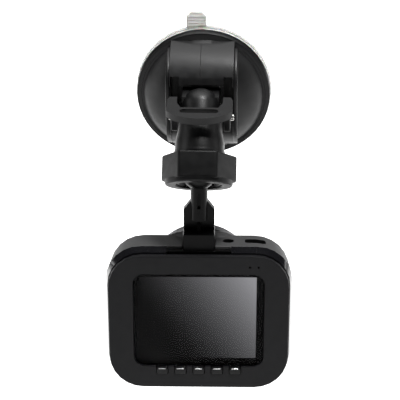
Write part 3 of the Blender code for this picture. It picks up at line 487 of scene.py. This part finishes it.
def bead(name, points, radius, resolution, closed=False):
    """Round bead along these points."""
    curve = bpy.data.curves.new(name, "CURVE")
    curve.dimensions = "3D"
    curve.bevel_depth = radius
    curve.bevel_resolution = resolution
    curve.use_fill_caps = True
    spline = curve.splines.new("POLY")
    spline.use_cyclic_u = closed
    spline.points.add(len(points) - 1)
    for point, place in zip(spline.points, points):
        point.co = (*place, 1)
    return curve


def lathe(bm, profile, steps, matrix):
    """Faces turned round the Y axis from a profile of (radius, height)."""
    rings = []
    for radius, height in profile:
        if radius < 1e-7:
            rings.append([bm.verts.new(matrix @ Vector((0, height, 0)))])
            continue
        turns = [2 * pi * i / steps for i in range(steps)]
        rings.append([bm.verts.new(matrix @ Vector((radius * cos(a), height, radius * sin(a))))
                      for a in turns])
    for lower, upper in zip(rings, rings[1:]):
        for i in range(steps):
            j = (i + 1) % steps
            corners = [lower[i % len(lower)], upper[i % len(upper)],
                       upper[j % len(upper)], lower[j % len(lower)]]
            unique = list(dict.fromkeys(corners))
            if len(unique) > 2:
                bm.faces.new(unique)


def surface_seam(name, node, starts, direction, radius, material, body, closed=False):
    """Fine bead laid on a node's surface, where rays from these points first meet it."""
    mesh = frame["nodes"][node].data
    tree = BVHTree.FromPolygons([v.co for v in mesh.vertices],
                                [tuple(p.vertices) for p in mesh.polygons])
    hits = []
    for begin in starts:
        hit = tree.ray_cast(begin, direction)[0]
        if hit is not None:
            hits.append(hit)
    if len(hits) < 3:
        raise RuntimeError(f"{name} has no surface to lie on")
    return new_piece(name, bead(name, hits, radius, 2, closed), material, body)


def port_box(node, inverse):
    """Middle and half sizes, across and in depth, of a socket in the case's frame."""
    places = [inverse @ v.co for v in frame["nodes"][node].data.vertices]
    across = [p.x for p in places]
    deep = [p.y for p in places]
    return ((min(across) + max(across)) / 2, (min(deep) + max(deep)) / 2,
            (max(across) - min(across)) / 2, (max(deep) - min(deep)) / 2)


def inside(place, port):
    """True where a place lies within a port's outline."""
    x, y, half_x, half_y = port
    return abs(place.x - x) < half_x and abs(place.y - y) < half_y


# ---------------------------------------------------------------- operators
class DASHCAM_OT_gel_cup(bpy.types.Operator):
    """Clear gel cup with its beaded rim and ribbed pull tab"""
    bl_idname = "dashcam.gel_cup"
    bl_label = "Gel Cup"

    def execute(self, context):
        sizes = context.scene.dashcam_sizes
        colour = context.scene.dashcam_colours.gel_colour
        gel = soft_gel("clear_gel", scaled(colour, 0.95), 0.7, 0.35)
        bm = bmesh.new()
        r, bead = sizes.cup_radius, sizes.cup_bead
        rim = [(r - bead * 0.5 + bead * 0.5 * cos(a), -bead * 0.5 + bead * 0.5 * sin(a))
               for a in [radians(x) for x in range(-90, 91, 30)]]
        skirt = [(r - 0.9 * MM, CUP_FLANGE), (r - 0.4 * MM, CUP_FLANGE + 0.3 * MM),
                 (r - 0.25 * MM, CUP_FLANGE + 0.9 * MM), (r - 0.2 * MM, -1.5 * MM)]
        lathe(bm, [(0, CUP_FLANGE)] + skirt + rim + [(0, 0)], CUP_STEPS, CUP)
        mesh = new_mesh(bm, "gel_cup", sharp=50)
        new_piece("gel_cup", mesh, gel, "mount", ["suction_cup"])
        self.pull_tab(sizes, soft_gel("frosted_gel", scaled(colour, 0.92), 0.5, 0.5))
        return {"FINISHED"}

    def pull_tab(self, sizes, gel):
        """Tab with cut corners and rounded ribs across its driver's side."""
        half, tip = sizes.tab_width / 2, sizes.tab_reach
        ribs_from, ribs_to = TAB_FOOT + TAB_PLAIN_FOOT, tip - TAB_PLAIN_TIP
        bm = bmesh.new()
        front = []
        for row in range(TAB_ROWS + 1):
            z = TAB_FOOT + (tip - TAB_FOOT) * row / TAB_ROWS
            width = half - max(0.0, z - (tip - TAB_CORNER))
            wave = abs(sin(pi * sizes.tab_ribs * (z - ribs_from) / (ribs_to - ribs_from)))
            line = []
            for column in range(TAB_COLUMNS + 1):
                share = 2 * column / TAB_COLUMNS - 1
                edge = max(0.0, (abs(share) - TAB_EDGE_START) / (1 - TAB_EDGE_START))
                lift = TAB_RIB_HEIGHT * wave * (1 - edge) if ribs_from < z < ribs_to else 0.0
                y = TAB_FACE - lift + TAB_EDGE_ROUND * edge * edge
                line.append(bm.verts.new(CUP @ Vector((sizes.tab_shift + width * share, y, z))))
            front.append(line)
        rear = []
        for line in front:
            places = [CUP.inverted() @ v.co for v in line]
            rear.append([bm.verts.new(CUP @ Vector((p.x, TAB_BACK, p.z))) for p in places])
        for layer, flip in ((front, False), (rear, True)):
            for row in range(TAB_ROWS):
                for column in range(TAB_COLUMNS):
                    quad = [layer[row][column], layer[row][column + 1],
                            layer[row + 1][column + 1], layer[row + 1][column]]
                    bm.faces.new(quad[::-1] if flip else quad)
        outline = ([(0, c) for c in range(TAB_COLUMNS)] +
                   [(r, TAB_COLUMNS) for r in range(TAB_ROWS)] +
                   [(TAB_ROWS, c) for c in range(TAB_COLUMNS, 0, -1)] +
                   [(r, 0) for r in range(TAB_ROWS, 0, -1)])
        for (r0, c0), (r1, c1) in zip(outline, outline[1:] + outline[:1]):
            bm.faces.new((front[r0][c0], front[r1][c1], rear[r1][c1], rear[r0][c0]))
        new_piece("pull_tab", new_mesh(bm, "pull_tab", sharp=45), gel, "mount")


class DASHCAM_OT_mount(bpy.types.Operator):
    """Satin plastic of the housing, lever and stud, with the hood's mould line"""
    bl_idname = "dashcam.mount"
    bl_label = "Suction Mount"

    def execute(self, context):
        colour = context.scene.dashcam_colours.mount_colour
        housing = moulded_plastic("housing_plastic", colour, 0.40)
        dress("suction_housing", housing)
        dress("cam_lever", moulded_plastic("lever_plastic", scaled(colour, 1.1), 0.38))
        dress("cup_stud", moulded_plastic("stud_plastic", colour, 0.5))
        inward = CUP.to_3x3() @ Vector((0, 1, 0))
        starts = [CUP @ Vector((HOOD_LINE_SIDE, RAY_START, step * HOOD_LINE_STEP))
                  for step in HOOD_LINE_STEPS]
        surface_seam("hood_mould_line", "suction_housing", starts, inward,
                     context.scene.dashcam_sizes.seam_radius, housing, "mount")
        right = (-GROOVE_HALF_TURN, GROOVE_HALF_TURN)
        left = (180 - GROOVE_HALF_TURN, 180 + GROOVE_HALF_TURN)
        for name, ring, (first, last) in (("rim_line", RIM_LINE_RADIUS, (0, 360)),
                                          ("groove_right", GROOVE_RADIUS, right),
                                          ("groove_left", GROOVE_RADIUS, left)):
            turns = [radians(first + (last - first) * i / RING_POINTS) for i in range(RING_POINTS)]
            starts = [CUP @ Vector((ring * cos(a), RAY_START, ring * sin(a))) for a in turns]
            surface_seam(name, "suction_housing", starts, inward, GROOVE_BEAD, housing, "mount",
                         closed=name == "rim_line")
        return {"FINISHED"}


class DASHCAM_OT_arm(bpy.types.Operator):
    """Arm with its elbow dome, hexagonal nut and collet"""
    bl_idname = "dashcam.arm"
    bl_label = "Arm and Nut"

    def execute(self, context):
        colour = context.scene.dashcam_colours.mount_colour
        dress("arm", moulded_plastic("arm_plastic", scaled(colour, 0.7), 0.40))
        dress("clamp_nut", moulded_plastic("nut_plastic", scaled(colour, 0.55), 0.46,
                                           grain=0.0005, shine=0.35))
        dress("collet", moulded_plastic("collet_plastic", scaled(colour, 1.3), 0.5))
        return {"FINISHED"}


class DASHCAM_OT_bracket(bpy.types.Operator):
    """Smooth black bracket with its ball"""
    bl_idname = "dashcam.bracket"
    bl_label = "Ball Bracket"

    def execute(self, context):
        colour = context.scene.dashcam_colours.bracket_colour
        dress("ball_bracket", moulded_plastic("bracket_plastic", colour, 0.33, shine=0.25))
        return {"FINISHED"}


class DASHCAM_OT_case(bpy.types.Operator):
    """Bezel, gloss band and grained front shell"""
    bl_idname = "dashcam.case"
    bl_label = "Camera Case"

    def execute(self, context):
        colours = context.scene.dashcam_colours
        dress("rear_bezel", moulded_plastic("bezel_plastic", colours.bezel_colour, 0.48,
                                            grain=0.00022, shine=0.3))
        dress("trim_band", moulded_plastic("trim_gloss", colours.trim_colour, 0.16,
                                           depth=0.0000015, coat=0.3))
        dress("front_shell", grained_plastic("shell_grain", colours.shell_colour, 0.52))
        self.shade_port_walls(moulded_plastic("port_painted_shade", PORT_PAINTED_SHADE, 0.6))
        self.paint_hole_shade(moulded_plastic("signal_ring", SIGNAL_PAINTED_SHADE, 0.6))
        return {"FINISHED"}

    def shade_port_walls(self, port_shade):
        """Walls inside the two openings in the top of the shell, painted black: painted shade in
        the recesses.
        """
        mesh = frame["nodes"]["front_shell"].data
        mesh.materials.append(port_shade)
        inverse = CASE.inverted()
        ports = [port_box("av_jack", inverse), port_box("usb_socket", inverse)]
        for face in mesh.polygons:
            place = inverse @ face.center
            upright = abs((inverse.to_3x3() @ face.normal).z) < 0.5
            walls = any(inside(place, port) for port in ports)
            if upright and walls and place.z > PORT_SHADE_FLOOR:
                face.material_index = 1

    def paint_hole_shade(self, material):
        """Black rings round the two small holes above the screen: painted shade that makes the
        holes look wider.
        """
        inverse = CASE.inverted()
        face = min((inverse @ v.co).y for v in frame["nodes"]["rear_bezel"].data.vertices)
        for name in ("microphone", "status_led"):
            centre = inverse @ middle(name)
            bm = bmesh.new()
            place = CASE @ Matrix.Translation((centre.x, face, centre.z))
            lathe(bm, [(r * MM, y * MM) for r, y in HOLE_SHADE_PROFILE], 32, place)
            bmesh.ops.remove_doubles(bm, verts=bm.verts, dist=0.000001)
            mesh = new_mesh(bm, name + "_ring")
            new_piece(name + "_ring", mesh, material, "camera")


class DASHCAM_OT_screen(bpy.types.Operator):
    """Clear window over the display panel"""
    bl_idname = "dashcam.screen"
    bl_label = "Screen"

    def execute(self, context):
        dress("lcd_window", coated_glass("window_acrylic", WINDOW_CLEAR, 1.0, 1.12))
        # the panel glows with a painted reflection of a soft light
        dress("lcd_panel", painted_reflection_display("display"))
        return {"FINISHED"}


class DASHCAM_OT_lens(bpy.types.Operator):
    """Silver ring, cone, barrel and coated lens"""
    bl_idname = "dashcam.lens"
    bl_label = "Lens"

    def execute(self, context):
        dress("lens_ring", machined_metal("ring_silver", RING_SILVER, 0.34))
        black = moulded_plastic("lens_black", LENS_BLACK, 0.3)
        dress("lens_cone", black)
        dress("lens_barrel", black)
        dress("lens_glass", coated_glass("lens_coated_glass", LENS_DEPTH, 0.5, 1.5, LENS_COATING))
        return {"FINISHED"}


class DASHCAM_OT_keys(bpy.types.Operator):
    """Key caps below the screen and the rubber pad behind them"""
    bl_idname = "dashcam.keys"
    bl_label = "Keys"

    def execute(self, context):
        cap = moulded_plastic("key_cap", KEY_BLACK, 0.5)
        polished = machined_metal("key_edge_polish", KEY_POLISH, 0.3)
        for name in sorted(frame["nodes"]):
            if name.startswith("key_") and name != "key_pad":
                dress(name, cap)
                self.polished_edge(name, polished)
        dress("key_pad", moulded_plastic("pad_rubber", PAD_GREY, 0.75))
        return {"FINISHED"}

    def polished_edge(self, key, material):
        """Thin bright bead along the upper front edge of a key."""
        inverse = CASE.inverted()
        centre = inverse @ middle(key)
        front = min((inverse @ v.co).y for v in frame["nodes"][key].data.vertices)
        points = [CASE @ Vector((centre.x + side * KEY_EDGE_HALF, front + KEY_EDGE_INSET,
                                 centre.z + KEY_EDGE_RISE - abs(side) * KEY_EDGE_DROP))
                  for side in (-1, 0, 1)]
        curve = bead(key + "_edge", points, KEY_EDGE_BEAD, 3)
        new_piece(key + "_edge", curve, material, key)


class DASHCAM_OT_metalwork(bpy.types.Operator):
    """Axle, screws, sockets and microphone"""
    bl_idname = "dashcam.metalwork"
    bl_label = "Metal Pieces"

    def execute(self, context):
        dress("lever_axle", machined_metal("axle_steel", AXLE_STEEL, 0.2))
        steel = machined_metal("screw_steel", SCREW_STEEL, 0.3)
        plain = [name for name in sorted(frame["nodes"]) if "screw" in name]
        for name in plain + ["microphone", "card_socket"]:
            dress(name, steel)
        dress("usb_socket", machined_metal("socket_steel", SOCKET_STEEL, 0.4))
        dress("av_jack", moulded_plastic("jack_plastic", JACK_BLACK, 0.6))
        return {"FINISHED"}


class DASHCAM_OT_electronics(bpy.types.Operator):
    """Board, sensor, battery, speaker, lamp and memory card"""
    bl_idname = "dashcam.electronics"
    bl_label = "Electronics"

    def execute(self, context):
        dress("main_board", circuit_board("board_mask"))
        dress("image_sensor", moulded_plastic("sensor_package", SENSOR_BLACK, 0.25))
        dress("battery", machined_metal("battery_foil", BATTERY_FOIL, 0.4, brushed=0.0015))
        dress("speaker", moulded_plastic("speaker_cone", SPEAKER_BLACK, 0.6))
        dress("status_led", moulded_plastic("lamp_lens", LAMP_RED, 0.2, coat=0.5))
        dress("memory_card", moulded_plastic("card_plastic", CARD_BLACK, 0.4))
        return {"FINISHED"}


class DASHCAM_OT_stage(bpy.types.Operator):
    """Pale floor, soft lights and the camera"""
    bl_idname = "dashcam.stage"
    bl_label = "Studio Stage"

    def execute(self, context):
        scene = context.scene
        settings = scene.dashcam_stage
        scene.view_settings.view_transform = "Standard"
        world = bpy.data.worlds.new("studio_world")
        world.use_nodes = True
        world.node_tree.nodes["Background"].inputs["Color"].default_value = (1, 1, 1, 1)
        world.node_tree.nodes["Background"].inputs["Strength"].default_value = WORLD_STRENGTH
        scene.world = world
        self.floor(CAD_BOX[0].z - settings.floor_drop)
        for lamp in LAMPS:
            self.light(*lamp)
        self.camera(settings)
        return {"FINISHED"}

    def floor(self, height):
        """Pale floor that glows more towards the back."""
        bm = bmesh.new()
        bmesh.ops.create_grid(bm, x_segments=2, y_segments=2, size=FLOOR_SIZE)
        mesh = new_mesh(bm, "studio_floor")
        obj = bpy.data.objects.new("studio_floor", mesh)
        bpy.context.scene.collection.objects.link(obj)
        obj.location.z = height
        mat, tree, shader = start_material("pale_floor")
        shader.inputs["Base Color"].default_value = (*FLOOR_WHITE, 1)
        shader.inputs["Roughness"].default_value = 0.9
        depth = tree.nodes.new("ShaderNodeSeparateXYZ")
        tree.links.new(object_coords(tree), depth.inputs["Vector"])
        shader.inputs["Emission Color"].default_value = (1, 1, 1, 1)
        tree.links.new(remap(tree, depth.outputs["Y"], *FLOOR_GLOW, *FLOOR_GLOW_DEPTH),
                       shader.inputs["Emission Strength"])
        mesh.materials.append(mat)

    def light(self, name, place, target, width, height, watts):
        """Rectangular lamp aimed at a point."""
        data = bpy.data.lights.new(name, "AREA")
        data.shape = "RECTANGLE"
        data.size, data.size_y, data.energy = width, height, watts
        obj = bpy.data.objects.new(name, data)
        bpy.context.scene.collection.objects.link(obj)
        obj.location = place
        obj.rotation_euler = (Vector(target) - Vector(place)).to_track_quat("-Z", "Y").to_euler()

    def camera(self, settings):
        """Camera on the driver's side, looking a little down."""
        a, e = settings.azimuth, settings.elevation
        back = Vector((sin(a) * cos(e), -cos(a) * cos(e), sin(e)))
        data = bpy.data.cameras.new("studio_camera")
        data.sensor_width = SENSOR_WIDTH
        data.lens = settings.lens
        data.clip_start = CLIP_START
        camera = bpy.data.objects.new("studio_camera", data)
        bpy.context.scene.collection.objects.link(camera)
        camera.location = CAMERA_TARGET + back * settings.distance
        camera.rotation_euler = (-back).to_track_quat("-Z", "Y").to_euler()
        bpy.context.scene.camera = camera


STEPS = (DASHCAM_OT_gel_cup, DASHCAM_OT_mount, DASHCAM_OT_arm, DASHCAM_OT_bracket,
         DASHCAM_OT_case, DASHCAM_OT_screen, DASHCAM_OT_lens, DASHCAM_OT_keys,
         DASHCAM_OT_metalwork, DASHCAM_OT_electronics, DASHCAM_OT_stage)


class DASHCAM_PT_panel(bpy.types.Panel):
    """Lists the settings and the steps in order"""
    bl_idname = "DASHCAM_PT_panel"
    bl_label = "Dash Camera"
    bl_space_type = "VIEW_3D"
    bl_region_type = "UI"
    bl_category = "Dash Camera"

    def draw(self, context):
        for group, _ in GROUPS:
            settings = getattr(context.scene, group)
            box = self.layout.box()
            for name in settings.bl_rna.properties.keys():
                if name not in ("rna_type", "name"):
                    box.prop(settings, name)
        for step in STEPS:
            self.layout.operator(step.bl_idname)


GROUPS = (("dashcam_sizes", DASHCAM_PG_sizes), ("dashcam_colours", DASHCAM_PG_colours),
          ("dashcam_stage", DASHCAM_PG_stage))


def register():
    """Add the settings, the steps and the panel."""
    for name, group in GROUPS:
        bpy.utils.register_class(group)
        setattr(bpy.types.Scene, name, bpy.props.PointerProperty(type=group))
    for cls in (*STEPS, DASHCAM_PT_panel):
        bpy.utils.register_class(cls)


def unregister():
    """Remove what register adds, last first."""
    for cls in (DASHCAM_PT_panel, *reversed(STEPS)):
        bpy.utils.unregister_class(cls)
    for name, group in reversed(GROUPS):
        delattr(bpy.types.Scene, name)
        bpy.utils.unregister_class(group)


def main():
    """Run every step in order."""
    register()
    for step in STEPS:
        getattr(bpy.ops.dashcam, step.bl_idname.split(".")[1])()


if __name__ == "__main__":
    main()
